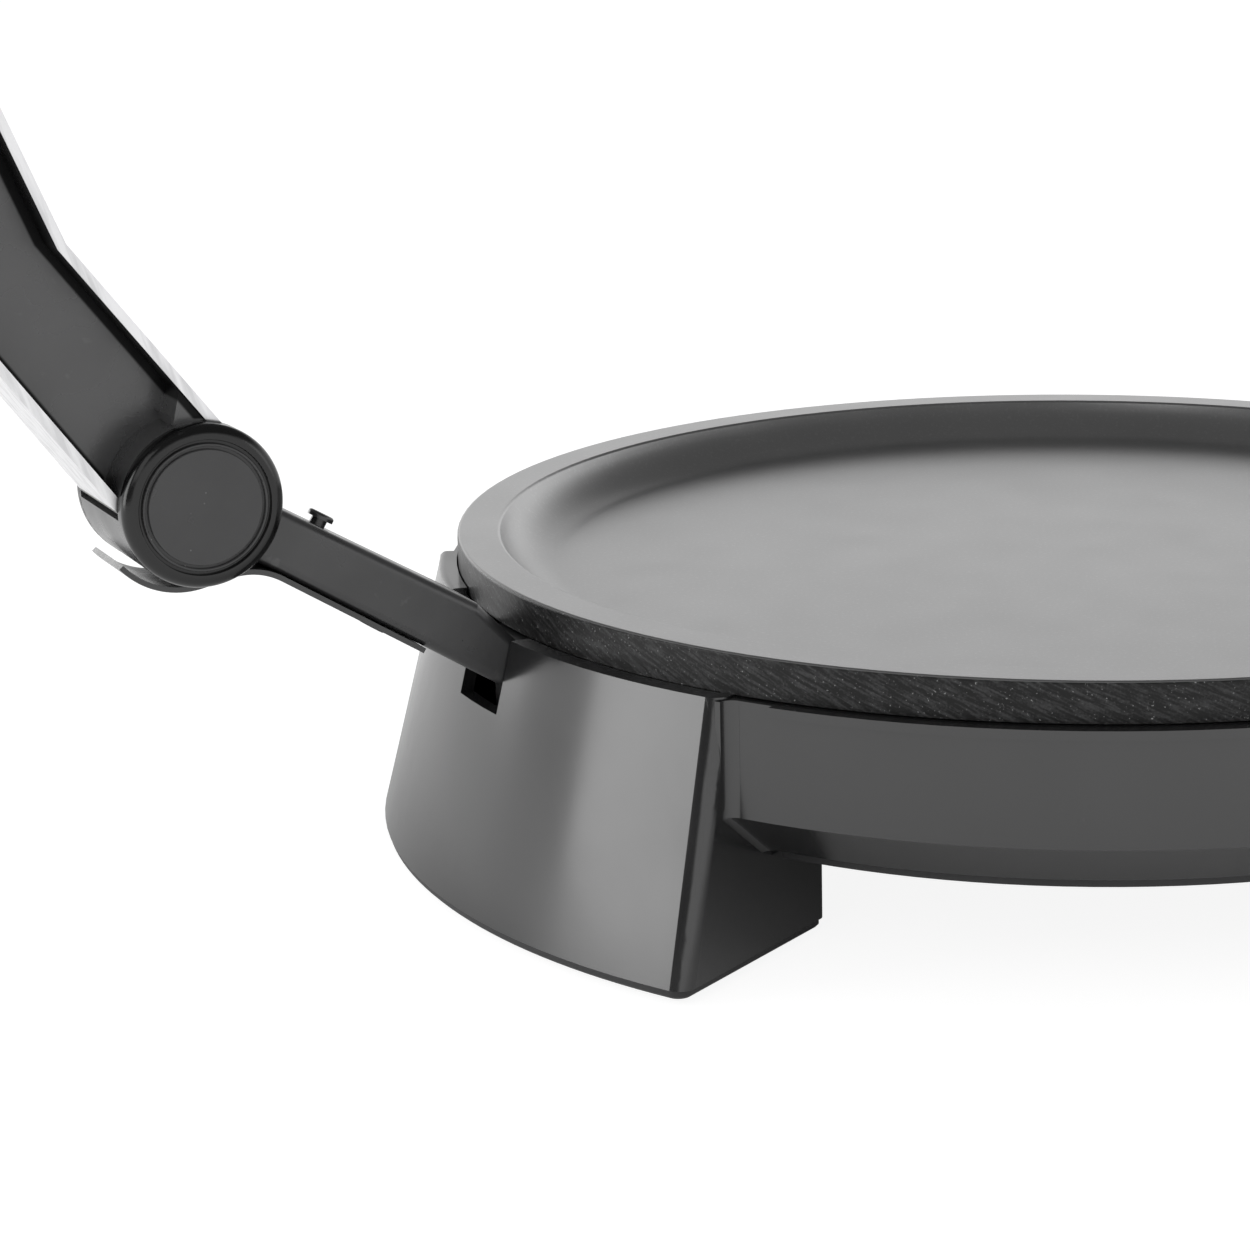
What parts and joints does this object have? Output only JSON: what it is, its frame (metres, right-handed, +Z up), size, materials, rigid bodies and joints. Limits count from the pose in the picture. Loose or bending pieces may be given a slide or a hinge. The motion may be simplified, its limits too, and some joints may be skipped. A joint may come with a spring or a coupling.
{
  "type": "chapati maker",
  "caption": "Electric countertop flatbread press: round shallow lower plate in a footed bowl, and a hinged upper plate that floats on a long handled arm",
  "frame": {"origin": "centre of the flat cooking face of the lower plate", "axes": "+Z up, -X towards the hinge, the handle closes down towards +X, Y along the hinge pin"},
  "size_m": [0.4701, 0.2408, 0.4314],
  "materials": {
    "housing_plastic": "gloss",
    "cover_plastic": "matte",
    "plate_casting": "non-stick coated, satin",
    "arm_casting": "satin black enamel",
    "beam_casting": "satin black enamel",
    "cap_plastic": "satin",
    "grip_plastic": "satin",
    "guard_sheet": "satin",
    "screw_steel": "plated",
    "pin_steel": "ground",
    "shield_sheet": "mill finish",
    "element_tube": "heat-tinted",
    "fuse_can": "satin",
    "thermostat_can": "satin",
    "terminal_plastic": "matte",
    "bush_rubber": "matte",
    "pad_rubber": "matte",
    "power_lens": "translucent",
    "ready_lens": "translucent",
    "washer_plastic": "low-friction"
  },
  "bodies": {
    "base": {"base_housing": "housing_plastic", "base_bottom_cover": "cover_plastic", "bottom_cover_screws": "screw_steel", "rear_foot_cover": "cover_plastic", "front_foot_cover": "cover_plastic", "foot_cover_screws": "screw_steel", "foot_pads": "pad_rubber", "lower_plate": "plate_casting", "lower_plate_screws": "screw_steel", "lower_element": "element_tube", "lower_heat_shield": "shield_sheet", "lower_shield_nuts": "screw_steel", "thermostat": "thermostat_can", "lower_thermal_fuse": "fuse_can", "lower_fuse_clip": "shield_sheet", "lower_fuse_screw": "screw_steel", "terminal_block": "terminal_plastic", "terminal_block_screws": "screw_steel", "cord_bush": "bush_rubber", "power_lamp": "power_lens", "ready_lamp": "ready_lens", "lower_arm": "arm_casting", "arm_root_screws": "screw_steel", "cable_guard": "guard_sheet", "guard_screw": "screw_steel", "arm_stud": "arm_casting", "hinge_washers": "washer_plastic"},
    "upper_arm": {"upper_arm": "beam_casting", "near_hinge_cap": "cap_plastic", "far_hinge_cap": "cap_plastic", "hinge_pin": "pin_steel", "grip_upper": "grip_plastic", "grip_lower": "grip_plastic", "grip_screws": "screw_steel"},
    "lid": {"upper_plate": "plate_casting", "upper_cover": "housing_plastic", "upper_plate_screws": "screw_steel", "upper_element": "element_tube", "upper_heat_shield": "shield_sheet", "upper_shield_nuts": "screw_steel", "upper_thermal_fuse": "fuse_can", "upper_fuse_clip": "shield_sheet", "upper_fuse_screw": "screw_steel", "lid_bracket": "beam_casting", "bracket_screws": "screw_steel", "pivot_pin": "pin_steel", "pivot_clips": "screw_steel"}
  },
  "joints": [
    {"name": "lid_hinge", "type": "hinge", "parent": "base", "child": "upper_arm", "pos_m": [-0.1759, 0, 0.0314], "axis": [0, 1, 0], "range_deg": [0, 108]},
    {"name": "lid_rock", "type": "hinge", "parent": "upper_arm", "child": "lid", "pos_m": [-0.23786, 0, 0.19622], "axis": [0, 1, 0], "range_deg": [-2, 0]}
  ]
}
